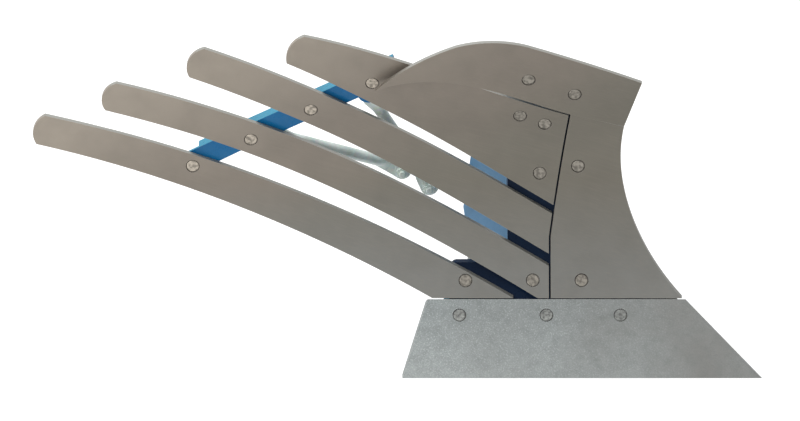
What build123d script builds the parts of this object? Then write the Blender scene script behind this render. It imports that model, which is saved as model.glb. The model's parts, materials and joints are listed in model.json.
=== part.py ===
from build123d import *
import math
import os

# A right-hand slatted mouldboard plough body, in millimetres. +X is the way it travels, +Y is the
# landside and +Z is up. Its origin is midway between the leg's bolt holes, on the frog's inner face.
# Most places are given as (along, height): along is measured from the share's point along its cutting
# edge towards the wing, and height from the furrow's floor. Depth is measured square behind the edge.

os.makedirs("parts", exist_ok=True)

# Share: a flat blade behind the cutting edge
share_angle = 38
share_length = 640
share_width = 149
share_slope = 45
share_thickness = 11
share_end_slant = 45
share_bolt_width = 119
share_bolt_end = 102
share_bolts = (251, 383, share_length - share_bolt_end)

# Mouldboard plates, and the press that forms them all: square to the edge it is an arc about a centre
# in front of the plate, then a straight flank that leans forward. It changes evenly along the edge.
plate = 10
seam = 3.5
foot_seam = 0.5
press_ends = (
    # along, height where it is upright, depth there, radius
    (0, 348, 197, 373),
    (1400, 310, 180, 332),
)
press_foot = -62
press_lean = 14
press_flank = 420

# Shin
shin_side = 375
shin_knee = 200
shin_top_back = (341, 434)
shin_top_front = (246, 405)
shin_hollow = (228, 229)
shin_toe = 141
shin_bolts = ((327, 326), (320, 132))

# Slats, from the lowest up
slats = (
    # name, top edge from its root to the tip, round end, low edge from its corner to the root, bolts
    ("slat_1", ((439, 104.5), (717, 231.5), (995, 346.5), (1273, 439.5)), (1294, 412),
     ((1290, 377.5), (1055, 301), (819, 207.5), (560, 94)), ((527, 131.5), (1013, 330))),
    ("slat_2", ((340, 134), (631, 287), (888, 413.5), (1145, 508.5)), (1171, 480),
     ((1166, 450), (909, 353.5), (653, 232.5), (380, 97)), ((407, 132), (909, 383.5))),
    ("slat_3", ((330, 215), (578, 362), (783, 482), (989, 582)), (1020, 547),
     ((1016, 520.5), (802, 415), (590, 292.5), (330, 148)), ((802, 447),)),
    ("slat_4", ((335, 427), (440, 466), (651, 553.5), (813, 606.5)), (842, 575),
     ((844, 549), (687, 457), (529, 353.5), (330, 232)), ((431, 430), (387, 412), (395, 313), (693, 504))),
)

# Trash board: a leaf of its own above the slats, further out towards its tip
trash_ends = (
    # along, depth of its soil side at the height below, lean
    (150, 183, 14),
    (750, 154, 16),
)
trash_height = 430
trash_root = (341, 436)
trash_corner = (246, 408)
trash_horn = (216, 502)
trash_rise = (304, 540)
trash_crown = (420, 586)
trash_crown_middle = (490, 597)
trash_crown_back = (545, 589)
trash_tail = (618, 553)
trash_tip = (688, 497)
trash_belly = ((560, 512), (451, 480))
trash_bolts = ((335, 480), (417, 514))
trash_sleeve = 12
trash_sleeve_reach = 72

# Plough bolts, M12 with countersunk heads
bolt_hole = 6.5
bolt_head = 12.5
bolt_angle = 90

# Landside and its heel
landside_thickness = 12
landside_top = 104
landside_lift = 4
landside_back = 520
heel_back = 652
heel_corner = 18
landside_bolts = (310, 450)
heel_bolts = (560, 615)
landside_bolt_height = 62

# Frog: the welded frame behind the plates
frog_plate = 12
frog_side = 16
frog_seam = 100
face_top = 446
face_back = 452
wing_top = 155
wing_back = 556
wing_corner = 14
seat_low = 26
seat_end = 74
side_low = 16
side_heel = 622
side_back = 650
side_knee = 160
side_top = 482
side_top_back = 600
side_top_front = 510
side_front = (350, 400)
window_front = 430
window_back = 552
window_low = 165
window_high = 275
window_corner = 24
base_height = 30
base_thickness = 10
base_wing = (548, 110)
base_heel = (500, 372)
brace_height = 372
brace_back = 400
rib_along = 350

# Leg holes in the frog's side
leg_back = 560
leg_height = 380
leg_spacing = 120
leg_hole = 10.5

# Bracket behind the frog's face for the trash board
bracket_plate = 8
bracket_foot = 396
bracket_front = 300
bracket_back = 450
bracket_margin = 24

# Rail behind the tails of the slats
rail_end = (647, 530)
rail_slope = 28.2
rail_length = 440
rail_width = 42
rail_web = 6
rail_flange = 28
rail_flange_length = 392
rail_corner = 20
rail_ear = 19

# Stays from the frog's stay arm to the rail
stay_tube = 21
stay_tab = 33
stay_tab_thickness = 6
stay_tab_corner = 20
stay_reach = 24
stay_pinch = 36
stay_bite = 0.6
stays = (
    # name, bolt in the rail, bolt in the stay arm
    ("stay_lower", (879, 395), (640, 243)),
    ("stay_upper", (700, 476), (591, 211)),
)
arm_depth = 360
arm_thickness = 10
arm_middle = (588, 235)
arm_slope = 31
arm_length = 190
arm_width = 40

point = Vector(leg_back, landside_thickness + frog_side, -leg_height)
wingward = Vector(-1, 0, 0).rotate(Axis.Z, share_angle)
inward = wingward.rotate(Axis.Z, -90)
upward = Vector(0, 0, 1)
share_rise = share_width * math.sin(math.radians(share_slope))
plates_foot = share_rise + foot_seam
reach = press_ends[-1][0]
face_front = plate
face_rear = plate + frog_plate


def place(along, depth, height):
    """Point so far along the cutting edge, behind it and above it."""
    return point + wingward * along + inward * depth + upward * height


def across(along):
    """Plane square to the edge: its X is depth and its Y is height."""
    return Plane(origin=place(along, 0, 0), x_dir=inward, z_dir=-wingward)


def facing(depth=0):
    """Upright plane along the edge: its X is along and its Y is height."""
    return Plane(origin=place(0, depth, 0), x_dir=wingward, z_dir=inward)


def level(height):
    """Level plane: its X is along and its Y is depth."""
    return Plane(origin=place(0, 0, height), x_dir=wingward, z_dir=-upward)


def beside(inset):
    """Upright plane along the travel, so far in from the landside: its X runs back from the point."""
    return Plane(origin=point - Vector(0, inset, 0), x_dir=(-1, 0, 0), z_dir=(0, 1, 0))


def press_section(along):
    """Arc centre (depth, height) and radius of the press at a place along the edge."""
    (start, *low), (end, *high) = press_ends
    share = (along - start) / (end - start)
    height, depth, radius = (a + (b - a) * share for a, b in zip(low, high))
    return depth - radius, height, radius


def press_plane(along, height):
    """Plane on the soil side of the press, facing the soil."""
    centre, upright, radius = press_section(along)
    lean = math.radians(press_lean)
    flank_foot = upright + radius * math.sin(lean)
    tilt = min(math.asin(min((height - upright) / radius, 1)), lean)
    depth = centre + radius * math.cos(tilt) - max(height - flank_foot, 0) * math.tan(lean)
    soil = -inward * math.cos(tilt) - upward * math.sin(tilt)
    return Plane(origin=place(along, depth, height), x_dir=wingward, z_dir=soil)


def press_band(front, back):
    """The whole press between two offsets behind its soil side."""
    with BuildPart() as band:
        for along, _, _, _ in press_ends:
            depth, upright, radius = press_section(along)
            with BuildSketch(across(along)):
                with BuildLine():
                    near = CenterArc((depth, upright), radius + front, press_foot, press_lean - press_foot)
                    far = CenterArc((depth, upright), radius + back, press_foot, press_lean - press_foot)
                    near_top = PolarLine(near @ 1, press_flank, 90 + press_lean)
                    far_top = PolarLine(far @ 1, press_flank, 90 + press_lean)
                    Line(near @ 0, far @ 0)
                    Line(near_top @ 1, far_top @ 1)
                make_face()
        loft(ruled=True)
    return band.part


def press_front(offset):
    """Everything in front of the press, up to an offset behind its soil side."""
    with BuildPart() as front:
        for along, _, _, _ in press_ends:
            depth, upright, radius = press_section(along)
            with BuildSketch(across(along)):
                with BuildLine():
                    arc = CenterArc((depth, upright), radius + offset, press_foot, press_lean - press_foot)
                    flank = PolarLine(arc @ 1, press_flank, 90 + press_lean)
                    Polyline(flank @ 1, (depth, (flank @ 1).Y), (depth, upright), arc @ 0)
                make_face()
        loft(ruled=True)
    return front.part


def trash_plane(along, height):
    """Plane on the soil side of the trash board, facing the soil."""
    (start, depth_0, lean_0), (end, depth_1, lean_1) = trash_ends
    share = (along - start) / (end - start)
    lean = math.radians(lean_0 + (lean_1 - lean_0) * share)
    depth = depth_0 + (depth_1 - depth_0) * share - (height - trash_height) * math.tan(lean)
    soil = -inward * math.cos(lean) - upward * math.sin(lean)
    return Plane(origin=place(along, depth, height), x_dir=wingward, z_dir=soil)


def trash_band(front, back):
    """The trash board's flat before it is cut out, between two offsets behind its soil side."""
    with BuildPart() as band:
        for along, depth, lean in trash_ends:
            start = depth + front * math.cos(math.radians(lean))
            foot = trash_height + front * math.sin(math.radians(lean))
            with BuildSketch(across(along)):
                with Locations((start, foot)):
                    Rectangle(back - front, press_flank, rotation=lean, align=(Align.MIN, Align.CENTER))
        loft(ruled=True)
    return band.part


def under_share(offset, height):
    """Depth, at a height, of the flat so far under the share's face."""
    slope = math.radians(share_slope)
    return height / math.tan(slope) + offset / math.sin(slope)


def share_plane(along, width):
    """Plane on the share's face, so far along its edge and up its width."""
    slope = math.radians(share_slope)
    soil = upward * math.cos(slope) - inward * math.sin(slope)
    origin = place(along, width * math.cos(slope), width * math.sin(slope))
    return Plane(origin=origin, x_dir=wingward, z_dir=soil)


def share_bed(offset, high):
    """Everything in front of the flat so far under the share's face, up to a height."""
    with BuildPart() as bed:
        with BuildSketch(across(0)):
            with BuildLine():
                low, front = -share_rise, -3 * share_rise
                Polyline((front, low), (under_share(offset, low), low), (under_share(offset, high), high),
                         (front, high), close=True)
            make_face()
        extrude(amount=reach, both=True)
    return bed.part


plate_band = press_band(0, plate)
face_band = press_band(face_front, face_rear)
ahead_of_frog = press_front(face_rear)
seat_bed = share_bed(share_thickness + frog_plate, frog_seam)
rail_bed = press_band(0, plate + rail_web)
frog_inner = landside_thickness + frog_side

# Share
with BuildPart() as share:
    with BuildSketch(across(0)):
        with BuildLine():
            top = (under_share(0, share_rise), share_rise)
            back = PolarLine(top, share_thickness, share_slope - 90)
            Polyline(back @ 1, (under_share(share_thickness, 0), 0), (0, 0), top)
        make_face()
    extrude(amount=-share_length)
    split(bisect_by=beside(0), keep=Keep.BOTTOM)
    with BuildSketch(facing()):
        with BuildLine():
            Polyline((share_length, 0), (share_length, share_rise),
                     (share_length - share_end_slant, share_rise), close=True)
        make_face()
    extrude(amount=reach, mode=Mode.SUBTRACT)
    for along in share_bolts:
        with Locations(share_plane(along, share_bolt_width)):
            CounterSinkHole(bolt_hole, bolt_head, counter_sink_angle=bolt_angle)
share.part.label = "share"
export_step(share.part, "parts/share.step")

# Shin
with BuildPart() as shin:
    add(plate_band)
    with BuildSketch(facing()):
        with BuildLine():
            Polyline((shin_toe, plates_foot), (shin_side, plates_foot), (shin_side, shin_knee),
                     shin_top_back, shin_top_front)
            ThreePointArc(shin_top_front, shin_hollow, (shin_toe, plates_foot))
        make_face()
    extrude(amount=reach, mode=Mode.INTERSECT)
    for along, height in shin_bolts:
        with Locations(press_plane(along, height)):
            CounterSinkHole(bolt_hole, bolt_head, counter_sink_angle=bolt_angle)
shin.part.label = "shin"
export_step(shin.part, "parts/shin.step")

# Slats
for name, top, end, low, bolts in slats:
    with BuildPart() as slat:
        add(plate_band)
        with BuildSketch(facing()):
            with BuildLine():
                Spline(*top)
                ThreePointArc(top[-1], end, low[0])
                Spline(*low)
                Line(low[-1], top[0])
            make_face()
            with BuildLine():
                Polyline((0, 0), (shin_side + seam, 0), (shin_side + seam, shin_knee),
                         (shin_top_back[0] + seam, shin_top_back[1]),
                         (shin_top_back[0] + seam, share_length), (0, share_length), close=True)
            make_face(mode=Mode.SUBTRACT)
            with Locations((0, 0)):
                Rectangle(reach, plates_foot, align=(Align.MIN, Align.MIN), mode=Mode.SUBTRACT)
        extrude(amount=reach, mode=Mode.INTERSECT)
        for along, height in bolts:
            with Locations(press_plane(along, height)):
                CounterSinkHole(bolt_hole, bolt_head, counter_sink_angle=bolt_angle)
    slat.part.label = name
    export_step(slat.part, f"parts/{name}.step")

# Trash board
with BuildPart() as trash_board:
    add(trash_band(0, plate))
    with BuildSketch(facing()):
        with BuildLine():
            Polyline(trash_root, trash_corner, trash_horn)
            ThreePointArc(trash_horn, trash_rise, trash_crown)
            ThreePointArc(trash_crown, trash_crown_middle, trash_crown_back)
            ThreePointArc(trash_crown_back, trash_tail, trash_tip)
            Spline(trash_tip, *trash_belly, trash_root)
        make_face()
    extrude(amount=reach, mode=Mode.INTERSECT)
    for along, height in trash_bolts:
        with Locations(trash_plane(along, height)):
            CounterSinkHole(bolt_hole, bolt_head, counter_sink_angle=bolt_angle)
trash_board.part.label = "trash_board"
export_step(trash_board.part, "parts/trash_board.step")

# Trash board bracket, bolted behind the frog's face
with BuildPart() as trash_bracket:
    add(press_band(face_rear, face_rear + bracket_plate))
    with BuildSketch(facing()):
        with BuildLine():
            low_rise, high_rise = (height + bracket_margin for _, height in trash_bolts)
            Polyline((bracket_front, bracket_foot), (bracket_back, bracket_foot), (bracket_back, high_rise),
                     (bracket_back - bracket_margin, high_rise), (bracket_front, low_rise), close=True)
        make_face()
    extrude(amount=reach, mode=Mode.INTERSECT)
    split(bisect_by=beside(frog_inner), keep=Keep.BOTTOM)
    for along, height in slats[3][-1][:2]:
        with Locations(press_plane(along, height)):
            Hole(bolt_hole)
    for along, height in trash_bolts:
        with Locations(trash_plane(along, height)):
            Hole(bolt_hole)
trash_bracket.part.label = "trash_board_bracket"
export_step(trash_bracket.part, "parts/trash_board_bracket.step")

# Spacer sleeves between the trash board and its bracket
with BuildPart() as sleeves:
    for along, height in trash_bolts:
        with BuildSketch(trash_plane(along, height)):
            Circle(trash_sleeve)
        extrude(amount=-trash_sleeve_reach)
    add(ahead_of_frog, mode=Mode.INTERSECT)
    add(trash_band(-plate, plate), mode=Mode.SUBTRACT)
    for along, height in trash_bolts:
        with Locations(trash_plane(along, height)):
            Hole(bolt_hole)
sleeves.part.label = "trash_board_sleeves"
export_step(sleeves.part, "parts/trash_board_sleeves.step")

# Landside
with BuildPart() as landside:
    with BuildSketch(beside(0)):
        with BuildLine():
            Polyline((0, landside_lift), (landside_back, landside_lift), (landside_back, landside_top),
                     (0, landside_top), close=True)
        make_face()
    extrude(amount=-landside_thickness)
    add(share_bed(share_thickness, 2 * share_rise), mode=Mode.SUBTRACT)
    for back in landside_bolts:
        with Locations(Plane(beside(0).location * Location((back, landside_bolt_height, 0)))):
            CounterSinkHole(bolt_hole, bolt_head, counter_sink_angle=bolt_angle)
landside.part.label = "landside"
export_step(landside.part, "parts/landside.step")

# Heel, the landside's wearing tail
with BuildPart() as heel:
    with BuildSketch(beside(0)):
        with BuildLine():
            Polyline((landside_back + seam, 0), (heel_back - heel_corner, 0), (heel_back, heel_corner),
                     (heel_back, landside_top), (landside_back + seam, landside_top), close=True)
        make_face()
    extrude(amount=-landside_thickness)
    for back in heel_bolts:
        with Locations(Plane(beside(0).location * Location((back, landside_bolt_height, 0)))):
            CounterSinkHole(bolt_hole, bolt_head, counter_sink_angle=bolt_angle)
heel.part.label = "landside_heel"
export_step(heel.part, "parts/landside_heel.step")

# Frog side, which the leg bolts to
with BuildPart() as frog_side_plate:
    with BuildSketch(beside(landside_thickness)):
        with BuildLine():
            Polyline((0, side_low), (side_heel, side_low), (side_back, side_knee), (side_top_back, side_top),
                     (side_top_front, side_top), side_front, (0, side_front[1]), close=True)
        make_face()
    extrude(amount=-frog_side)
    with BuildSketch(beside(landside_thickness)) as window:
        with BuildLine():
            Polyline((window_front, window_low), (window_back, window_low), (window_back, window_high),
                     (window_front, window_high), close=True)
        make_face()
        fillet(window.vertices(), window_corner)
    extrude(amount=-frog_side, mode=Mode.SUBTRACT)
    add(seat_bed, mode=Mode.SUBTRACT)
    add(ahead_of_frog, mode=Mode.SUBTRACT)
    for rise in (-leg_spacing / 2, leg_spacing / 2):
        with Locations(Plane(beside(0).location * Location((leg_back, leg_height + rise, 0)))):
            Hole(leg_hole)
    for back in landside_bolts + heel_bolts:
        with Locations(Plane(beside(0).location * Location((back, landside_bolt_height, 0)))):
            Hole(bolt_hole)
frog_side_plate.part.label = "frog_side_plate"
export_step(frog_side_plate.part, "parts/frog_side_plate.step")

# Frog face, which the shin and the roots of the slats seat on
with BuildPart() as frog_face:
    add(face_band)
    with BuildSketch(facing()) as outline:
        with BuildLine():
            Polyline((0, frog_seam), (wing_back, frog_seam), (wing_back, wing_top), (face_back, wing_top),
                     (face_back, face_top), (0, face_top), close=True)
        make_face()
        fillet(outline.vertices().sort_by_distance((wing_back, wing_top))[0], wing_corner)
        fillet(outline.vertices().sort_by_distance((face_back, wing_top))[0], wing_corner)
    extrude(amount=reach, mode=Mode.INTERSECT)
    split(bisect_by=beside(landside_thickness), keep=Keep.BOTTOM)
    face_bolts = shin_bolts + tuple(bolt for row in slats for bolt in row[-1][:-1])
    for along, height in face_bolts:
        with Locations(press_plane(along, height)):
            Hole(bolt_hole)
frog_face.part.label = "frog_face_plate"
export_step(frog_face.part, "parts/frog_face_plate.step")

# Frog seat, which the share bolts to
with BuildPart() as frog_seat:
    with BuildSketch(across(0)):
        with BuildLine():
            near, far = share_thickness, share_thickness + frog_plate
            Polyline((under_share(near, seat_low), seat_low), (under_share(far, seat_low), seat_low),
                     (under_share(far, frog_seam), frog_seam), (under_share(near, frog_seam), frog_seam),
                     close=True)
        make_face()
    extrude(amount=seat_end - share_length)
    split(bisect_by=beside(landside_thickness), keep=Keep.BOTTOM)
    for along in share_bolts:
        with Locations(share_plane(along, share_bolt_width)):
            Hole(bolt_hole)
frog_seat.part.label = "frog_share_seat"
export_step(frog_seat.part, "parts/frog_share_seat.step")

# Frog base, a level web between the seat and the side
with BuildPart() as frog_base:
    with BuildSketch(level(base_height)):
        with BuildLine():
            Polyline((0, 0), (base_wing[0], 0), base_wing, base_heel, (0, base_heel[1]), close=True)
        make_face()
    extrude(amount=-base_thickness)
    split(bisect_by=beside(frog_inner), keep=Keep.BOTTOM)
    add(seat_bed, mode=Mode.SUBTRACT)
frog_base.part.label = "frog_base_web"
export_step(frog_base.part, "parts/frog_base_web.step")

# Frog brace, a level web high behind the face
with BuildPart() as frog_brace:
    with BuildSketch(level(brace_height)):
        with Locations((0, 0)):
            Rectangle(brace_back, reach, align=(Align.MIN, Align.MIN))
    extrude(amount=-base_thickness)
    split(bisect_by=beside(frog_inner), keep=Keep.BOTTOM)
    add(ahead_of_frog, mode=Mode.SUBTRACT)
    add(trash_bracket.part, mode=Mode.SUBTRACT)
frog_brace.part.label = "frog_brace"
export_step(frog_brace.part, "parts/frog_brace.step")

# Frog rib, upright between the base and the brace
with BuildPart() as frog_rib:
    with BuildSketch(across(rib_along)):
        with BuildLine():
            foot = base_height + base_thickness
            Polyline((0, foot), (arm_depth, foot), (arm_depth, brace_height), (0, brace_height), close=True)
        make_face()
    extrude(amount=base_thickness / 2, both=True)
    split(bisect_by=beside(frog_inner), keep=Keep.BOTTOM)
    add(seat_bed, mode=Mode.SUBTRACT)
    add(ahead_of_frog, mode=Mode.SUBTRACT)
    add(trash_bracket.part, mode=Mode.SUBTRACT)
frog_rib.part.label = "frog_rib"
export_step(frog_rib.part, "parts/frog_rib.step")

# Rail: an angle that follows the backs of the slats near their tails
with BuildPart() as rail:
    add(press_band(plate, plate + rail_web))
    with BuildSketch(facing()) as outline:
        with Locations(Location((*rail_end, 0), -rail_slope)):
            Rectangle(rail_length, rail_width, align=(Align.MIN, Align.CENTER))
        low_end = outline.vertices().sort_by(Axis.X)[-2:]
        fillet(low_end, rail_corner)
        for _, ear, _ in stays:
            with Locations(ear):
                Circle(rail_ear)
    extrude(amount=reach, mode=Mode.INTERSECT)
with BuildPart() as flange:
    add(press_band(plate + rail_web, plate + rail_flange))
    with BuildSketch(facing()):
        with Locations(Location((*rail_end, 0), -rail_slope)):
            with Locations((0, (rail_width - rail_web) / 2)):
                Rectangle(rail_flange_length, rail_web, align=(Align.MIN, Align.CENTER))
    extrude(amount=reach, mode=Mode.INTERSECT)
with BuildPart() as rail_angle:
    add(rail.part)
    add(flange.part)
    for row in slats:
        with Locations(press_plane(*row[-1][-1])):
            Hole(bolt_hole)
    for _, ear, _ in stays:
        with Locations(press_plane(*ear)):
            Hole(bolt_hole)
rail_angle.part.label = "slat_rail"
export_step(rail_angle.part, "parts/slat_rail.step")

# Stay arm, welded on the rear of the frog's side
with BuildPart() as stay_arm:
    with BuildSketch(facing(arm_depth)) as outline:
        with Locations(Location((*arm_middle, 0), arm_slope)):
            Rectangle(arm_length, arm_width)
        fillet(outline.vertices().sort_by(Axis.X)[-2:], arm_width / 3)
        for _, _, ear in stays:
            with Locations(ear):
                Circle(stay_tab / 2)
    extrude(amount=arm_thickness)
    split(bisect_by=beside(frog_inner), keep=Keep.BOTTOM)
    for _, _, (along, height) in stays:
        with Locations(Plane(facing(arm_depth).location * Location((along, height, 0)))):
            Hole(bolt_hole)
stay_arm.part.label = "stay_arm"
export_step(stay_arm.part, "parts/stay_arm.step")


def tube_end(plane):
    """Round face of a stay's tube as four arcs, one for each side of its flattened end."""
    corner = math.degrees(math.atan2(stay_tab_thickness, stay_tab)) + stay_tab_corner
    with BuildSketch(plane) as section:
        with BuildLine():
            CenterArc((0, 0), stay_tube / 2, -corner, 2 * corner)
            CenterArc((0, 0), stay_tube / 2, corner, 180 - 2 * corner)
            CenterArc((0, 0), stay_tube / 2, 180 - corner, 2 * corner)
            CenterArc((0, 0), stay_tube / 2, 180 + corner, 180 - 2 * corner)
        make_face()
    return section.sketch


# Stays: tubes with pinched and bent ends
for name, rail_bolt, (arm_along, arm_height) in stays:
    rail_seat = press_plane(*rail_bolt)
    rail_gap = plate + rail_web - stay_bite + stay_tab_thickness / 2
    rail_bolt_place = rail_seat.origin - rail_seat.z_dir * rail_gap
    arm_bolt_place = place(arm_along, arm_depth - stay_tab_thickness / 2, arm_height)
    span = arm_bolt_place - rail_bolt_place
    ends = []
    for origin, normal, toward in ((rail_bolt_place, rail_seat.z_dir, span), (arm_bolt_place, inward, -span)):
        flat = (toward - normal * toward.dot(normal)).normalized()
        ends.append(Plane(origin=origin, x_dir=flat, z_dir=normal))
    bends = [end.origin + end.x_dir * stay_reach for end in ends]
    axis = (bends[1] - bends[0]).normalized()
    with BuildPart() as stay:
        for end, bend, out in zip(ends, bends, (axis, -axis)):
            with BuildSketch(end):
                Circle(stay_tab / 2)
                Rectangle(stay_reach, stay_tab, align=(Align.MIN, Align.CENTER))
            extrude(amount=stay_tab_thickness / 2, both=True)
            with BuildSketch(Plane(origin=bend, x_dir=end.y_dir, z_dir=end.x_dir)):
                Rectangle(stay_tab, stay_tab_thickness)
            neck = Plane(origin=bend + out * stay_pinch, x_dir=end.y_dir, z_dir=out)
            add(tube_end(neck))
            loft()
        length = (bends[1] - bends[0]).length - 2 * stay_pinch
        start = bends[0] + axis * stay_pinch
        with BuildSketch(Plane(origin=start, x_dir=ends[0].y_dir, z_dir=axis)):
            Circle(stay_tube / 2)
        extrude(amount=length)
        for end in ends:
            with Locations(end.offset(stay_tab_thickness)):
                Hole(bolt_hole, depth=2 * stay_tab_thickness)
        add(rail_bed, mode=Mode.SUBTRACT)
    stay.part.label = name
    export_step(stay.part, f"parts/{name}.step")
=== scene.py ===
"""Looks of a slatted mouldboard plough body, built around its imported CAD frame.

Metres. +X is the way it travels, +Y the landside and +Z up. The CAD solids keep their shapes and get
their finishes here. Fasteners and welds are added: a plough bolt in every countersunk hole, a hex bolt at
each end of a stay, and a weld bead where a plate's edge lies on the plate that it is welded to.
"""

import json
import math
import random

import bmesh
import bpy
from mathutils import Matrix, Vector
from mathutils.bvhtree import BVHTree


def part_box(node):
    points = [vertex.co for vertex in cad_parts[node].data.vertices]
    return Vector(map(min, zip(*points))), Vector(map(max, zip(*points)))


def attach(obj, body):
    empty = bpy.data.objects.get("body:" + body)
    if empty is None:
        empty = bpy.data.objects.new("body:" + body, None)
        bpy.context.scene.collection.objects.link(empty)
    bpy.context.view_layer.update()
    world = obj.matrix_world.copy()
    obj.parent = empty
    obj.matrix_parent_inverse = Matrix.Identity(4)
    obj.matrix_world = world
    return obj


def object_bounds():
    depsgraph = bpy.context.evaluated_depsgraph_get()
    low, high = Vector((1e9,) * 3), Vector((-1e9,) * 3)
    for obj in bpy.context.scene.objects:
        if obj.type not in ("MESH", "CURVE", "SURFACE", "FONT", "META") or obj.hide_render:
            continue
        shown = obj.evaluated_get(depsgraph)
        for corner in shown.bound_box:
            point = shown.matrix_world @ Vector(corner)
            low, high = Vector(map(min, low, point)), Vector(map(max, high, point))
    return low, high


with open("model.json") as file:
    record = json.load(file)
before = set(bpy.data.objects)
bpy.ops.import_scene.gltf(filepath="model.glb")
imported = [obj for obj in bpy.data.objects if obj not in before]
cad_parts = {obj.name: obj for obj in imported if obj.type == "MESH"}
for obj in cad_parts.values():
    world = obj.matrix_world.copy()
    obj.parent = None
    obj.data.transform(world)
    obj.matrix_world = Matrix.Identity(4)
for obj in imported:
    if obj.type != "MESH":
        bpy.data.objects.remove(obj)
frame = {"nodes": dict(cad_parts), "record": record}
cad_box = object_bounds()
nodes = frame["nodes"]

MM = 0.001
UP = Vector((0, 0, 1))
LANDSIDE = Vector((0, 1, 0))
SHARE_ANGLE = math.radians(38)
WINGWARD = Vector((-math.cos(SHARE_ANGLE), -math.sin(SHARE_ANGLE), 0))
INWARD = Vector((-math.sin(SHARE_ANGLE), math.cos(SHARE_ANGLE), 0))
ROOT = "root"

share_low, share_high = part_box("share")
POINT = Vector((share_high.x, share_high.y, share_low.z))

# The view: where it aims, how far it looks down, and how wide its field is there
CAMERA_AIM = POINT + WINGWARD * 0.644 + INWARD * 0.150 + UP * 0.259
CAMERA_TILT = math.radians(25)
CAMERA_DISTANCE = 14.0
CAMERA_FIELD = 1.424

# The stage: soft lamps, how bright the surroundings and floor are, and the floor's half width
LAMPS = (
    # name, place from the part's centre, size, watts
    ("overhead", 2.6 * UP + 0.5 * INWARD + 0.5 * WINGWARD, 2.4, 66),
    ("front", -2.2 * INWARD + 0.7 * UP + 2.3 * WINGWARD, 2.6, 62),
)
WORLD_LEVEL = 0.4
FLOOR_GLOW = 0.5
FLOOR_REACH = 15

WELDED = (
    # plate whose edge is welded, plate that it stands on
    ("frog_face_plate", "slat_3"),
    ("frog_side_plate", "frog_face_plate"),
    ("frog_side_plate", "frog_share_seat"),
    ("frog_base_web", "frog_side_plate"),
    ("frog_base_web", "frog_share_seat"),
    ("frog_brace", "frog_side_plate"),
    ("frog_brace", "frog_face_plate"),
    ("frog_rib", "frog_face_plate"),
    ("frog_rib", "frog_base_web"),
    ("frog_rib", "frog_side_plate"),
    ("frog_rib", "frog_brace"),
    ("stay_arm", "frog_side_plate"),
)

STAYS = ("stay_lower", "stay_upper")
STAY_CARRIERS = ("stay_arm", "slat_rail")

# Sizes of the fasteners, M12 plough and hex bolts with their nuts and washers
HOLE_RADIUS = 6.5 * MM
SINK_RADIUS = 12.5 * MM
SHANK_RADIUS = 6 * MM
HEAD_RADIUS = 10.9 * MM
HEAD_DROP = 0.5 * MM
DROP_SPREAD = (0.6, 1.6)
HEAD_DISH = 0.7 * MM
DISH_SPREAD = (0.7, 1.2)
HEAD_BEVEL = 0.35 * MM
HEAD_RIM = 0.9 * MM
DISH = (
    # out from the middle as a share of the head's radius, depth as a share of the dish's
    (0, 1),
    (0.35, 0.92),
    (0.62, 0.45),
    (0.80, 0.06),
    (0.93, 0),
)
RING_LIP = 0.12 * MM
RING_DROP = 1.9 * MM
RING_FOOT = 2.2 * MM
HEX_HEAD_HEIGHT = 7.5 * MM
NUT_ACROSS = 19 * MM
NUT_HEIGHT = 10 * MM
WASHER_RADIUS = 12 * MM
WASHER_HEIGHT = 2.5 * MM
WASHER_BEVEL = 0.3 * MM
WASHER_PLAY = 0.5 * MM
NUT_ROOM = 0.62 * NUT_ACROSS
THREAD_PITCH = 1.75 * MM
THREAD_DEPTH = 0.9 * MM
THREAD_TURNS = 3
TIP_HEIGHT = 0.5 * MM
TIP_BEVEL = 0.4 * MM
CHAMFER_FOOT = 0.6
CHAMFER_SLOPE = 0.58
AROUND = 36
HEX_AROUND = 48

# How edges are read: corners closer than this are one, and a sharper turn than this is an edge
SAME_PLACE = 0.01 * MM
RIM_EDGE = math.radians(30)
PLATE_EDGE = math.radians(40)

# How the holes are read: how far off true a rim, a countersink or an axis may be, and how deep joints go
RIM_CORNERS = 9
RIM_TOLERANCE = 0.35 * MM
RIM_ROUNDNESS = 1.2
SINK_TOLERANCE = 0.6 * MM
AXIS_TOLERANCE = 2 * MM
PLOUGH_JOINT = 120 * MM
STAY_TAB = 12 * MM
STAY_JOINT = 40 * MM
SINK_PROBES = 6
NUT_PROBES = 12

# Weld beads
BEAD_RADIUS = 3.2 * MM
BEAD_STEP = 2 * MM
BEAD_TOUCH = 0.5 * MM
BEAD_SIDES = 8
BEAD_POINTS = 5
BEAD_TAPER = 3
RIPPLE = 0.16
RIPPLE_TURN = 1.9
UNEVEN = 0.05

# Seed of the random turns and depths of the bolts and of the beads' unevenness
SEED = 7


# ---------------------------------------------------------------- materials

def colour(red, green, blue):
    """Linear colour of an sRGB colour given from 0 to 255."""
    linear = [
        c / 255 / 12.92 if c <= 10 else ((c / 255 + 0.055) / 1.055) ** 2.4
        for c in (red, green, blue)
    ]
    return (*linear, 1)


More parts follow.
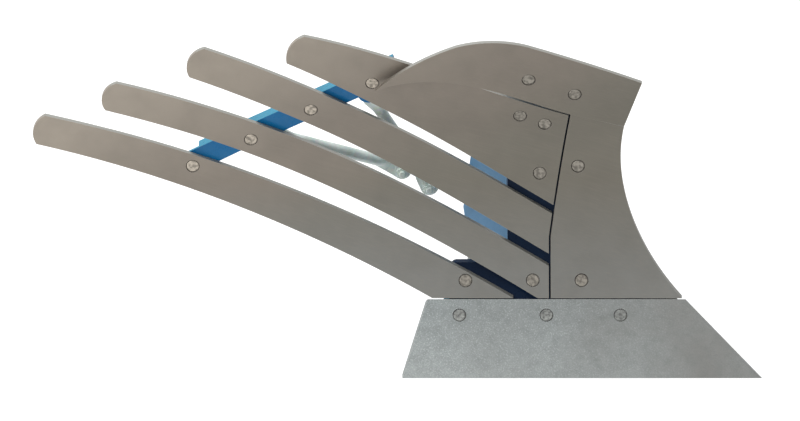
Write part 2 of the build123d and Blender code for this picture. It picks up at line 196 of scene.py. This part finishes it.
class Look:
    """A material, its shader and short calls that add nodes to it."""

    def __init__(self, name, metallic, roughness, **sockets):
        self.material = bpy.data.materials.new(name)
        self.material.use_nodes = True
        self.tree = self.material.node_tree
        self.shader = self.tree.nodes["Principled BSDF"]
        self.shader.inputs["Metallic"].default_value = metallic
        self.shader.inputs["Roughness"].default_value = roughness
        for socket, value in sockets.items():
            self.shader.inputs[socket.replace("_", " ")].default_value = value
        self.place = self.add("ShaderNodeTexCoord").outputs["Object"]

    def add(self, kind, **values):
        made = self.tree.nodes.new(kind)
        for key, value in values.items():
            setattr(made, key, value)
        return made

    def feed(self, socket, value):
        """Links a node's output to a socket, or sets the socket's own value."""
        if isinstance(value, bpy.types.NodeSocket):
            self.tree.links.new(value, socket)
        else:
            socket.default_value = value

    def turned(self, along, squeeze=(1, 1, 1)):
        """The place in a frame whose X runs along a direction, scaled on each axis."""
        across = UP.cross(along).normalized()
        turn = Matrix((along, across, along.cross(across))).to_euler()
        mapping = self.add("ShaderNodeMapping", vector_type="POINT")
        self.feed(mapping.inputs["Vector"], self.place)
        mapping.inputs["Rotation"].default_value = turn
        scaled = self.add("ShaderNodeMapping", vector_type="POINT")
        self.feed(scaled.inputs["Vector"], mapping.outputs["Vector"])
        scaled.inputs["Scale"].default_value = squeeze
        return scaled.outputs["Vector"]

    def way(self, direction):
        """How far a place lies from the share's point, along a direction."""
        made = self.add("ShaderNodeVectorMath", operation="DOT_PRODUCT")
        self.feed(made.inputs[0], self.place)
        made.inputs[1].default_value = direction
        return self.maths("SUBTRACT", made.outputs["Value"], POINT.dot(direction))

    def facing(self, direction, low, high):
        """1 where a face looks along a direction, 0 where it looks aside."""
        made = self.add("ShaderNodeVectorMath", operation="DOT_PRODUCT")
        self.feed(made.inputs[0], self.add("ShaderNodeNewGeometry").outputs["True Normal"])
        made.inputs[1].default_value = direction
        return self.span(made.outputs["Value"], 0, 1, low, high)

    def noise(self, scale, detail=2.0, roughness=0.5, place=None):
        made = self.add("ShaderNodeTexNoise")
        self.feed(made.inputs["Vector"], place or self.place)
        made.inputs["Scale"].default_value = scale
        made.inputs["Detail"].default_value = detail
        made.inputs["Roughness"].default_value = roughness
        return made.outputs[0]

    def cells(self, scale):
        """A random grey for each cell of a broken surface, such as zinc's spangle."""
        made = self.add("ShaderNodeTexVoronoi")
        self.feed(made.inputs["Vector"], self.place)
        made.inputs["Scale"].default_value = scale
        return made.outputs["Color"]

    def span(self, value, low, high, from_low=0.0, from_high=1.0):
        """Moves a value from one range to another, held within it."""
        made = self.add("ShaderNodeMapRange", clamp=True)
        for socket, number in zip(made.inputs, (value, from_low, from_high, low, high)):
            self.feed(socket, number)
        return made.outputs[0]

    def maths(self, operation, first, second=0.0):
        made = self.add("ShaderNodeMath", operation=operation)
        self.feed(made.inputs[0], first)
        self.feed(made.inputs[1], second)
        return made.outputs[0]

    def mix(self, factor, first, second, blend="MIX"):
        made = self.add("ShaderNodeMix", data_type="RGBA", blend_type=blend)
        for index, value in zip((0, 6, 7), (factor, first, second)):
            self.feed(made.inputs[index], value)
        return made.outputs[2]

    def edges(self, radius, sharp=6.0):
        """1 on the edges of a plate, 0 on its faces."""
        bevel = self.add("ShaderNodeBevel", samples=6)
        bevel.inputs["Radius"].default_value = radius
        geometry = self.add("ShaderNodeNewGeometry")
        dot = self.add("ShaderNodeVectorMath", operation="DOT_PRODUCT")
        self.feed(dot.inputs[0], bevel.outputs["Normal"])
        self.feed(dot.inputs[1], geometry.outputs["True Normal"])
        away = self.maths("SUBTRACT", 1.0, dot.outputs["Value"])
        return self.span(away, 0.0, 1.0, 0.01, 1 / sharp)

    def bump(self, height, depth, normal=None):
        """Relief of a given depth in metres. Returns the new normal."""
        made = self.add("ShaderNodeBump")
        made.inputs["Strength"].default_value = 1.0
        made.inputs["Distance"].default_value = depth
        self.feed(made.inputs["Height"], height)
        if normal is not None:
            self.feed(made.inputs["Normal"], normal)
        return made.outputs["Normal"]

    def finish(self, base=None, roughness=None, normal=None):
        for name, value in (("Base Color", base), ("Roughness", roughness), ("Normal", normal)):
            if value is not None:
                self.feed(self.shader.inputs[name], value)
        return self.material


def plate_steel(along):
    """Formed mouldboard plate: satin grey-brown, paler to the tails as a painted sheen, with roll marks and
    painted highlights on its edges and on faces that look up.
    """
    look = Look("plate_steel", metallic=0.35, roughness=0.42)
    haze = look.noise(4.5, detail=3)
    cloud = look.noise(19, detail=4)
    lines = look.noise(1.0, detail=5, roughness=0.6, place=look.turned(along, (9, 420, 420)))
    grain = look.noise(900, detail=2)
    # Painted sheen: the plate grows paler towards the tails and higher up.
    painted_sheen_rise = look.maths("ADD", look.way(WINGWARD + 2 * UP), look.span(haze, -0.08, 0.08, 0.3, 0.7))
    base = look.mix(look.span(painted_sheen_rise, 0, 1, 1.20, 1.52), colour(115, 111, 101), colour(128, 120, 110))
    base = look.mix(look.span(painted_sheen_rise, 0, 1, 1.61, 2.04), base, colour(150, 141, 129))
    base = look.mix(look.span(look.way(UP), 1, 0, 0.14, 0.30), base, colour(123, 123, 119))
    base = look.mix(look.span(cloud, 0, 0.22, 0.4, 0.8), base, colour(92, 89, 82))
    base = look.mix(look.span(lines, 0, 0.16, 0.45, 0.75), base, colour(150, 142, 131))
    # Painted highlight: a pale line along the plates' edges.
    edge = look.maths("MULTIPLY", look.edges(1.2 * MM), look.span(cloud, 0.25, 1, 0.3, 0.6))
    base = look.mix(look.maths("MULTIPLY", edge, 0.45), base, colour(188, 184, 174))
    # Painted light: faces that look up, such as the slats' top edges, are paler.
    base = look.mix(look.facing(UP, 0.74, 0.86), base, colour(150, 150, 144))
    rough = look.maths("ADD", look.span(cloud, 0.38, 0.5), look.span(lines, -0.05, 0.05, 0.3, 0.7))
    normal = look.bump(lines, 0.05 * MM)
    normal = look.bump(grain, 0.03 * MM, normal)
    return look.finish(base, rough, normal)


def share_steel():
    """Blasted wearing steel: cooler grey, paler to the heel and its foot, mottled, with painted glints on its
    pits and a painted highlight on its edges.
    """
    look = Look("share_steel", metallic=0.5, roughness=0.5)
    haze = look.noise(6, detail=3)
    mottle = look.noise(55, detail=4, roughness=0.6)
    pits = look.noise(420, detail=3, roughness=0.6)
    back = look.maths("ADD", look.way(WINGWARD), look.span(haze, -0.12, 0.12, 0.3, 0.7))
    heel = look.span(back, 0, 1, 0.02, 0.56)
    foot = look.span(look.way(UP), 1, 0, 0.0, 0.08)
    base = look.mix(heel, colour(123, 123, 120), colour(141, 147, 147))
    # Paler along the share's foot, most towards the heel.
    pale_foot = look.maths("MULTIPLY", foot, look.maths("MULTIPLY", heel, 0.7))
    base = look.mix(pale_foot, base, colour(160, 165, 164))
    base = look.mix(look.span(mottle, 0, 0.3, 0.42, 0.75), base, colour(112, 117, 115))
    base = look.mix(look.span(pits, 0.25, 0, 0.25, 0.5), base, colour(92, 95, 93))
    # Painted highlight: bright glints on the pits towards the heel.
    glint = look.maths("MULTIPLY", heel, look.span(pits, 0, 0.5, 0.54, 0.68))
    base = look.mix(glint, base, colour(196, 202, 200))
    # Painted highlight: a pale line along the share's edges, such as its top edge.
    edge = look.maths("MULTIPLY", look.edges(1.4 * MM), look.span(mottle, 0.2, 1, 0.3, 0.6))
    base = look.mix(look.maths("MULTIPLY", edge, 0.5), base, colour(205, 210, 208))
    rough = look.span(mottle, 0.42, 0.6, 0.3, 0.7)
    normal = look.bump(mottle, 0.15 * MM)
    normal = look.bump(pits, 0.10 * MM, normal)
    return look.finish(base, rough, normal)


def paint(name, deep, light, top, gloss, dusty, painted_light_colour=None):
    """Enamel over steel with painted light where it looks up and, if a colour is given, on its furrow side,
    with orange peel, dust and chipped edges.
    """
    coat = {"Coat_Weight": gloss, "Coat_Roughness": 0.12, "Specular_IOR_Level": gloss + 0.1}
    look = Look(name, metallic=0.0, roughness=0.3, **coat)
    haze = look.noise(9, detail=3)
    dust = look.noise(38, detail=5, roughness=0.65)
    chips = look.noise(170, detail=3, roughness=0.6)
    peel = look.noise(520, detail=1)
    base = look.mix(look.span(haze, 0, 1, 0.35, 0.65), deep, light)
    # Painted light: faces that look up take the brighter top colour.
    base = look.mix(look.facing(UP, 0.55, 0.85), base, top)
    # Painted light: faces that look to the furrow side take a paler colour.
    if painted_light_colour:
        base = look.mix(look.facing(-LANDSIDE, 0.9, 0.98), base, painted_light_colour)
    base = look.mix(look.span(dust, 0, dusty, 0.5, 0.8), base, colour(120, 140, 156))
    chipped = look.maths("MULTIPLY", look.edges(1.6 * MM, 4.0), look.span(chips, 0, 1, 0.56, 0.62))
    base = look.mix(chipped, base, colour(84, 82, 78))
    rough = look.maths("ADD", look.span(dust, 0.24, 0.42, 0.4, 0.8), look.maths("MULTIPLY", chipped, 0.2))
    normal = look.bump(peel, 0.06 * MM)
    normal = look.bump(chipped, -0.12 * MM, normal)
    return look.finish(base, rough, normal)


def zinc():
    """Zinc plating: dull and pale, slightly green, with a soft spangle."""
    look = Look("zinc", metallic=0.1, roughness=0.45)
    spangle = look.cells(170)
    haze = look.noise(24, detail=4)
    grain = look.noise(700, detail=2)
    base = look.mix(look.span(haze, 0, 1, 0.35, 0.7), colour(222, 233, 228), colour(188, 202, 197))
    base = look.mix(0.10, base, spangle, blend="OVERLAY")
    rough = look.maths("ADD", look.span(haze, 0.38, 0.52, 0.3, 0.7), look.span(spangle, -0.05, 0.05))
    return look.finish(base, rough, look.bump(grain, 0.03 * MM))


def bolt_steel(name, near, darker, painted_sheen=None):
    """Forged bolt steel with soft dimples and grime, and a painted sheen towards the slats' tails if its
    colour is given.
    """
    look = Look(name, metallic=0.75, roughness=0.4)
    dimples = look.noise(260, detail=2, roughness=0.55)
    grime = look.noise(170, detail=4)
    clean = near
    # Painted sheen: heads grow paler towards the slats' tails, as the plates do.
    if painted_sheen:
        clean = look.mix(look.span(look.way(WINGWARD + 2 * UP), 0, 1, 1.45, 1.68), near, painted_sheen)
    base = look.mix(look.span(grime, 0, 0.65, 0.42, 0.62), clean, darker)
    rough = look.span(grime, 0.34, 0.55, 0.35, 0.7)
    return look.finish(base, rough, look.bump(dimples, 0.6 * MM))


def head_gap_dark():
    """A dark, mottled ring that lines the narrow gap round a countersunk head."""
    look = Look("head_gap_dark", metallic=0.0, roughness=0.8)
    ring_noise = look.noise(600, detail=3)
    base = look.mix(look.span(ring_noise, 0, 1, 0.35, 0.65), colour(24, 22, 20), colour(62, 56, 50))
    return look.finish(base, None, look.bump(ring_noise, 0.1 * MM))


# Enamels, each as its deep, its light and its upward colour, the upward colour being painted light on faces
# that look up
BLUE = (colour(6, 88, 138), colour(14, 104, 156), colour(10, 130, 162))
# A darker copy of the blue: painted shade for the frog face plate behind the slats.
SHADE_BLUE = (colour(4, 22, 44), colour(8, 30, 54), colour(12, 40, 70))

MATERIALS = {
    "plate_steel": plate_steel((WINGWARD + 0.35 * UP).normalized()),
    "share_steel": share_steel(),
    "blue_paint": paint("blue_paint", *BLUE, gloss=0.1, dusty=0.1),
    "shaded_paint": paint("shaded_paint", *SHADE_BLUE, gloss=0.0, dusty=0.01),
    # Side plate: more dust, and painted light on its furrow side.
    "dusty_painted_light_paint": paint("dusty_painted_light_paint", *BLUE, gloss=0.1, dusty=0.2, painted_light_colour=colour(112, 158, 196)),
    "zinc": zinc(),
    "bolt_steel": bolt_steel("bolt_steel", colour(143, 138, 129), colour(80, 77, 71), colour(176, 167, 154)),
    "share_bolt": bolt_steel("share_bolt", colour(136, 138, 135), colour(66, 67, 65)),
    "head_gap_dark": head_gap_dark(),
}

# Frog plates whose paint shows in the gaps between the slats: the face plate in the darker painted-shade
# paint, the side plate with painted light on its furrow side
PAINTED_APART = {"frog_face_plate": "shaded_paint", "frog_side_plate": "dusty_painted_light_paint"}


def dress_cad():
    """Gives each CAD node its finish through its material slots."""
    slots = {row["node"]: row["material_slot"] for row in frame["record"]["subparts"]} | PAINTED_APART
    for name, node in nodes.items():
        for slot in node.material_slots:
            slot.material = MATERIALS[slots[name]]


# ---------------------------------------------------------------- reading the frame

def sharp_edges(node, angle):
    """The edges of a CAD node that turn by more than an angle, as its corners and pairs of their numbers."""
    mesh = bmesh.new()
    mesh.from_mesh(nodes[node].data)
    bmesh.ops.remove_doubles(mesh, verts=mesh.verts, dist=SAME_PLACE)
    mesh.verts.index_update()
    places = [v.co.copy() for v in mesh.verts]
    pairs = [
        (e.verts[0].index, e.verts[1].index)
        for e in mesh.edges
        if len(e.link_faces) == 2 and e.link_faces[0].normal.angle(e.link_faces[1].normal, 0) > angle
    ]
    mesh.free()
    return places, pairs


def runs_of(pairs):
    """Runs of joined edges, each as the numbers of its corners in order."""
    near = {}
    for a, b in pairs:
        near.setdefault(a, []).append(b)
        near.setdefault(b, []).append(a)
    used, runs = set(), []
    starts = sorted(near, key=lambda corner: len(near[corner]) == 2)
    for start in starts:
        for first in near[start]:
            if (start, first) in used:
                continue
            run = [start, first]
            used |= {(start, first), (first, start)}
            while len(near[run[-1]]) == 2 and run[-1] != start:
                onward = [n for n in near[run[-1]] if (run[-1], n) not in used]
                if not onward:
                    break
                used |= {(run[-1], onward[0]), (onward[0], run[-1])}
                run.append(onward[0])
            runs.append(run)
    return runs


def hole_rims(node):
    """Rims of a CAD node's bolt holes, each as (node, centre, axis of the hole either way round)."""
    places, pairs = sharp_edges(node, RIM_EDGE)
    rims = []
    for run in runs_of(pairs):
        if len(run) < RIM_CORNERS or run[0] != run[-1]:
            continue
        ring = [places[n] for n in run[:-1]]
        centre = sum(ring, Vector()) / len(ring)
        spans = [(p - centre).length for p in ring]
        off = abs(sum(spans) / len(spans) - HOLE_RADIUS)
        if off < RIM_TOLERANCE and max(spans) < RIM_ROUNDNESS * HOLE_RADIUS:
            turned = ring[1:] + ring[:1]
            normal = sum(((a - centre).cross(b - centre) for a, b in zip(ring, turned)), Vector())
            rims.append((node, centre, normal.normalized()))
    return rims


RIMS = [rim for name in sorted(nodes) for rim in hole_rims(name)]
TREES = {
    name: BVHTree.FromPolygons([v.co for v in node.data.vertices], [p.vertices for p in node.data.polygons])
    for name, node in nodes.items()
}


def turns(count):
    """Angles evenly spaced round a circle."""
    return [math.tau * n / count for n in range(count)]


def around(axis, count):
    """Directions square to an axis, evenly spaced round it."""
    side = axis.orthogonal().normalized()
    return [Matrix.Rotation(angle, 3, axis) @ side for angle in turns(count)]


def is_flared(node, centre, out):
    """True if a countersink opens from the rim in that direction."""
    half = (SINK_RADIUS - HOLE_RADIUS) / 2
    start = centre + out * half
    hits = [TREES[node].ray_cast(start, side, SINK_RADIUS)[3] for side in around(out, SINK_PROBES)]
    return all(hit is not None and abs(hit - HOLE_RADIUS - half) < SINK_TOLERANCE for hit in hits)


def depths_behind(centre, out, reach, only=None):
    """How far behind a place each aligned rim lies, along an axis."""
    depths = []
    for name, other, _ in RIMS:
        behind = (centre - other).dot(out)
        aside = (other - centre + out * behind).length
        if aside < AXIS_TOLERANCE and 0 < behind < reach and only in (None, name):
            depths.append(behind)
    return depths


def countersunk_holes():
    """Each countersunk hole as (node, centre on the plate's face, outward axis, depth of the joint)."""
    found = []
    for name, centre, normal in RIMS:
        for out in (normal, -normal):
            if is_flared(name, centre, out):
                face = centre + out * (SINK_RADIUS - HOLE_RADIUS)
                found.append((name, face, out, max(depths_behind(face, out, PLOUGH_JOINT))))
    return found


def plain_joint(first, second):
    """Aligned plain holes of two nodes: (centre of the first's outer rim, axis out of it, grip)."""
    for name, centre, normal in RIMS:
        for out in (normal, -normal):
            own = depths_behind(centre, out, STAY_TAB, first) if name == first else ()
            far = depths_behind(centre, out, STAY_JOINT, second)
            if own and far and max(far) > max(own):
                return centre, out, max(far)
    raise ValueError(f"no joint of {first} and {second}")


# ---------------------------------------------------------------- mesh pieces

def finish_piece(name, mesh, materials):
    """Makes an object of a bmesh and ties it to the body."""
    bmesh.ops.recalc_face_normals(mesh, faces=mesh.faces)
    data = bpy.data.meshes.new(name)
    mesh.to_mesh(data)
    mesh.free()
    for material in materials:
        data.materials.append(MATERIALS[material])
    piece = bpy.data.objects.new(name, data)
    bpy.context.scene.collection.objects.link(piece)
    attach(piece, ROOT)
    return piece


def polar(radius, angle, height):
    """The place at a radius, angle and height about Z."""
    return Vector((radius * math.cos(angle), radius * math.sin(angle), height))


def bridge(mesh, rings, material=0, smooth=False):
    """Faces between neighbouring rings. A ring may be one corner, repeated."""
    for low, high in zip(rings, rings[1:]):
        for n in range(len(low)):
            m = (n + 1) % len(low)
            corners = list(dict.fromkeys((low[n], low[m], high[m], high[n])))
            if len(corners) > 2:
                face = mesh.faces.new(corners)
                face.material_index = material
                face.smooth = smooth


def lathe(mesh, profile, matrix, material=0, smooth=True):
    """Turns a profile of (radius, height) pairs round the matrix's Z."""
    rings = []
    for radius, height in profile:
        if radius == 0:
            rings.append([mesh.verts.new(matrix @ Vector((0, 0, height)))] * AROUND)
        else:
            rings.append([mesh.verts.new(matrix @ polar(radius, angle, height)) for angle in turns(AROUND)])
    bridge(mesh, rings, material, smooth)


def hexagon(mesh, across, height, matrix, hole=0.0):
    """A nut or hex head with its corners rounded off, its foot at the matrix's origin."""
    corner = across / math.sqrt(3)
    chamfer = corner - across / 2
    rings = []
    for level, trim in ((0, 0), (height - CHAMFER_FOOT * chamfer, 0), (height, chamfer)):
        ring = []
        for angle in turns(HEX_AROUND):
            off_flat = (angle + math.pi / 6) % (math.pi / 3) - math.pi / 6
            flat = across / 2 / math.cos(off_flat)
            radius = min(flat, corner - trim)
            drop = CHAMFER_SLOPE * max(flat - (corner - chamfer), 0) if level and not trim else 0
            ring.append(mesh.verts.new(matrix @ polar(radius, angle, level - drop)))
        rings.append(ring)
    if hole:
        for level in (height, 0):
            rings.append([mesh.verts.new(matrix @ polar(hole, angle, level)) for angle in turns(HEX_AROUND)])
        bridge(mesh, [*rings, rings[0]])
    else:
        bridge(mesh, rings)
        mesh.faces.new(rings[-1])
        mesh.faces.new(list(reversed(rings[0])))


def thread_profile(start):
    """Ridges of a thread's end and its chamfered tip, as (radius, height) pairs."""
    root = SHANK_RADIUS - THREAD_DEPTH
    ridge = []
    for n in range(THREAD_TURNS):
        foot = start + n * THREAD_PITCH
        ridge += [(root, foot), (SHANK_RADIUS, foot + THREAD_PITCH / 2), (root, foot + THREAD_PITCH)]
    tip = start + THREAD_TURNS * THREAD_PITCH + TIP_HEIGHT
    return ridge + [(root - TIP_BEVEL, tip), (0, tip)]


def axis_matrix(centre, out, turn):
    """Matrix whose Z is the axis out of the work, turned about it."""
    facing = out.to_track_quat("Z", "Y").to_matrix().to_4x4()
    return Matrix.Translation(centre) @ facing @ Matrix.Rotation(turn, 4, "Z")


def has_nut_room(centre, out):
    """True if no CAD node stands in the way of a washer and nut at that place."""
    middle = centre + out * ((NUT_HEIGHT + WASHER_HEIGHT) / 2)
    return not any(
        tree.ray_cast(middle, side, NUT_ROOM)[0] is not None
        for tree in TREES.values()
        for side in around(out, NUT_PROBES)
    )


def nut_and_washer(mesh, matrix):
    """A washer, a nut and the thread's end, standing up from the matrix's origin."""
    hole = SHANK_RADIUS + WASHER_PLAY
    washer = [
        (hole, 0),
        (WASHER_RADIUS, 0),
        (WASHER_RADIUS, WASHER_HEIGHT - WASHER_BEVEL),
        (WASHER_RADIUS - WASHER_BEVEL, WASHER_HEIGHT),
        (hole, WASHER_HEIGHT),
        (hole, 0),
    ]
    lathe(mesh, washer, matrix, smooth=False)
    hexagon(mesh, NUT_ACROSS, NUT_HEIGHT, matrix @ Matrix.Translation((0, 0, WASHER_HEIGHT)), SHANK_RADIUS)
    top = WASHER_HEIGHT + NUT_HEIGHT
    lathe(mesh, [(SHANK_RADIUS, 0), (SHANK_RADIUS, top), *thread_profile(top)], matrix, smooth=False)


def plough_bolt(number, name, centre, out, grip, dice):
    """A countersunk plough bolt, flush in its plate, with a washer and nut behind the joint if they fit."""
    mesh = bmesh.new()
    matrix = axis_matrix(centre, out, dice.uniform(0, math.tau))
    drop = HEAD_DROP * dice.uniform(*DROP_SPREAD)
    dish = HEAD_DISH * dice.uniform(*DISH_SPREAD)
    neck = HEAD_RADIUS - SHANK_RADIUS
    head = [
        *((out_share * HEAD_RADIUS, -drop - depth_share * dish) for out_share, depth_share in DISH),
        (HEAD_RADIUS, -drop - HEAD_BEVEL),
        (HEAD_RADIUS, -drop - HEAD_RIM),
    ]
    shank = [(SHANK_RADIUS, -drop - neck), (SHANK_RADIUS, -grip), (0, -grip)]
    lathe(mesh, head + shank, matrix)
    # A dark ring lines the countersink in the gap round the head.
    inner = SINK_RADIUS - RING_DROP
    darker = [(SINK_RADIUS - RING_LIP, -RING_LIP), (inner, -RING_DROP), (inner, -RING_FOOT)]
    lathe(mesh, darker, matrix, material=1)
    back = centre - out * grip
    behind = axis_matrix(back, -out, dice.uniform(0, math.tau))
    if has_nut_room(back, -out):
        nut_and_washer(mesh, behind)
    steel = "share_bolt" if name == "share" else "bolt_steel"
    finish_piece(f"plough_bolt_{number:02d}_{name}", mesh, (steel, "head_gap_dark"))


def hex_bolt(name, centre, out, grip, dice):
    """A hex bolt through two plates: its nut at the rim given, its head on the far side."""
    mesh = bmesh.new()
    shank = [(0, 0), (SHANK_RADIUS, 0), (SHANK_RADIUS, -grip), (0, -grip)]
    lathe(mesh, shank, axis_matrix(centre, out, 0))
    nut_and_washer(mesh, axis_matrix(centre, out, dice.uniform(0, math.tau)))
    head = axis_matrix(centre - out * grip, -out, dice.uniform(0, math.tau))
    hexagon(mesh, NUT_ACROSS, HEX_HEAD_HEIGHT, head)
    finish_piece(name, mesh, ("zinc",))


# ---------------------------------------------------------------- welds

def seams(plate, base):
    """Runs of points along the plate's sharp edges that lie on the base."""
    places, pairs = sharp_edges(plate, PLATE_EDGE)
    found = []
    for run in runs_of(pairs):
        points = []
        for a, b in zip(run, run[1:]):
            start, end = places[a], places[b]
            count = max(1, round((end - start).length / BEAD_STEP))
            points += [start.lerp(end, n / count) for n in range(count)]
        points.append(places[run[-1]])
        kept = []
        for point in points:
            if TREES[base].find_nearest(point, BEAD_TOUCH)[0] is not None:
                kept.append(point)
                continue
            if len(kept) >= BEAD_POINTS:
                found.append(kept)
            kept = []
        if len(kept) >= BEAD_POINTS:
            found.append(kept)
    return found


def bead(mesh, points, dice):
    """A weld bead along the points, with the ripples that each pass leaves."""
    rings = []
    for n, point in enumerate(points):
        ahead = points[min(n + 1, len(points) - 1)] - points[max(n - 1, 0)]
        ripple = 1 + RIPPLE * math.sin(n * RIPPLE_TURN) + dice.uniform(-UNEVEN, UNEVEN)
        taper = min(1.0, (min(n, len(points) - 1 - n) + 1) / BEAD_TAPER)
        size = BEAD_RADIUS * ripple * taper
        rings.append([mesh.verts.new(point + square * size) for square in around(ahead, BEAD_SIDES)])
    bridge(mesh, rings, smooth=True)
    mesh.faces.new(rings[0])
    mesh.faces.new(rings[-1])


def weld(plate, base, dice):
    """Beads along every edge of a plate that lies on its base."""
    mesh = bmesh.new()
    for points in seams(plate, base):
        bead(mesh, points, dice)
    finish_piece(f"weld_{plate}_to_{base}", mesh, ("blue_paint",))


# ---------------------------------------------------------------- stage

def floor(height):
    """The stage's flat floor at a height."""
    corners = [(x * FLOOR_REACH, y * FLOOR_REACH, height) for x, y in ((-1, -1), (1, -1), (1, 1), (-1, 1))]
    data = bpy.data.meshes.new("floor")
    data.from_pydata(corners, [], [(0, 1, 2, 3)])
    data.materials.append(floor_material())
    sheet = bpy.data.objects.new("floor", data)
    bpy.context.scene.collection.objects.link(sheet)


def seen_rays(tree):
    """1 for rays that the camera, gloss or glass sends out, otherwise 0."""
    path = tree.nodes.new("ShaderNodeLightPath")
    total = path.outputs["Is Camera Ray"]
    for other in ("Is Glossy Ray", "Is Transmission Ray"):
        most = tree.nodes.new("ShaderNodeMath")
        most.operation = "MAXIMUM"
        tree.links.new(total, most.inputs[0])
        tree.links.new(path.outputs[other], most.inputs[1])
        total = most.outputs[0]
    return total


def floor_material():
    """Pale floor that shows white to the camera and keeps the object's shadow."""
    material = bpy.data.materials.new("studio_floor")
    material.use_nodes = True
    tree = material.node_tree
    shader = tree.nodes["Principled BSDF"]
    shader.inputs["Base Color"].default_value = (0.78, 0.78, 0.78, 1)
    shader.inputs["Roughness"].default_value = 0.9
    shader.inputs["Specular IOR Level"].default_value = 0.0
    shader.inputs["Emission Color"].default_value = (1, 1, 1, 1)
    lift = tree.nodes.new("ShaderNodeMath")
    lift.operation = "MULTIPLY"
    lift.inputs[1].default_value = FLOOR_GLOW
    tree.links.new(seen_rays(tree), lift.inputs[0])
    tree.links.new(lift.outputs[0], shader.inputs["Emission Strength"])
    return material


def world_light():
    """White surroundings: full white where they are seen, softer as light."""
    world = bpy.data.worlds.new("studio")
    bpy.context.scene.world = world
    world.use_nodes = True
    tree = world.node_tree
    background = tree.nodes["Background"]
    background.inputs["Color"].default_value = (1, 1, 1, 1)
    level = tree.nodes.new("ShaderNodeMapRange")
    level.inputs["To Min"].default_value = WORLD_LEVEL
    level.inputs["To Max"].default_value = 1.0
    tree.links.new(seen_rays(tree), level.inputs["Value"])
    tree.links.new(level.outputs[0], background.inputs["Strength"])


def area_light(name, place, aim, size, watts):
    """A square soft lamp that looks at a point."""
    data = bpy.data.lights.new(name, "AREA")
    data.shape = "SQUARE"
    data.size = size
    data.energy = watts
    lamp = bpy.data.objects.new(name, data)
    lamp.location = place
    lamp.rotation_mode = "QUATERNION"
    lamp.rotation_quaternion = (aim - place).to_track_quat("-Z", "Y")
    bpy.context.scene.collection.objects.link(lamp)


def make_camera():
    """A long-lens camera that looks square to the share's edge and down on the body."""
    look = INWARD * math.cos(CAMERA_TILT) - UP * math.sin(CAMERA_TILT)
    data = bpy.data.cameras.new("camera")
    data.sensor_width = 36
    data.lens = data.sensor_width * CAMERA_DISTANCE / CAMERA_FIELD
    data.clip_end = 100
    camera = bpy.data.objects.new("camera", data)
    camera.location = CAMERA_AIM - look * CAMERA_DISTANCE
    camera.rotation_mode = "QUATERNION"
    camera.rotation_quaternion = look.to_track_quat("-Z", "Y")
    bpy.context.scene.collection.objects.link(camera)
    bpy.context.scene.camera = camera


def make_stage():
    """The floor under the part, the white surroundings and the lamps."""
    low, high = cad_box
    floor(low.z)
    world_light()
    centre = (low + high) / 2
    for name, offset, size, watts in LAMPS:
        area_light(name, centre + offset, centre, size, watts)


def main():
    dress_cad()
    dice = random.Random(SEED)
    for number, (name, centre, out, grip) in enumerate(countersunk_holes(), 1):
        plough_bolt(number, name, centre, out, grip, dice)
    for stay in STAYS:
        for carrier in STAY_CARRIERS:
            hex_bolt(f"hex_bolt_{stay}_{carrier}", *plain_joint(stay, carrier), dice)
    for plate, base in WELDED:
        weld(plate, base, dice)
    make_stage()
    make_camera()


main()
bpy.context.scene.view_settings.view_transform = "Standard"
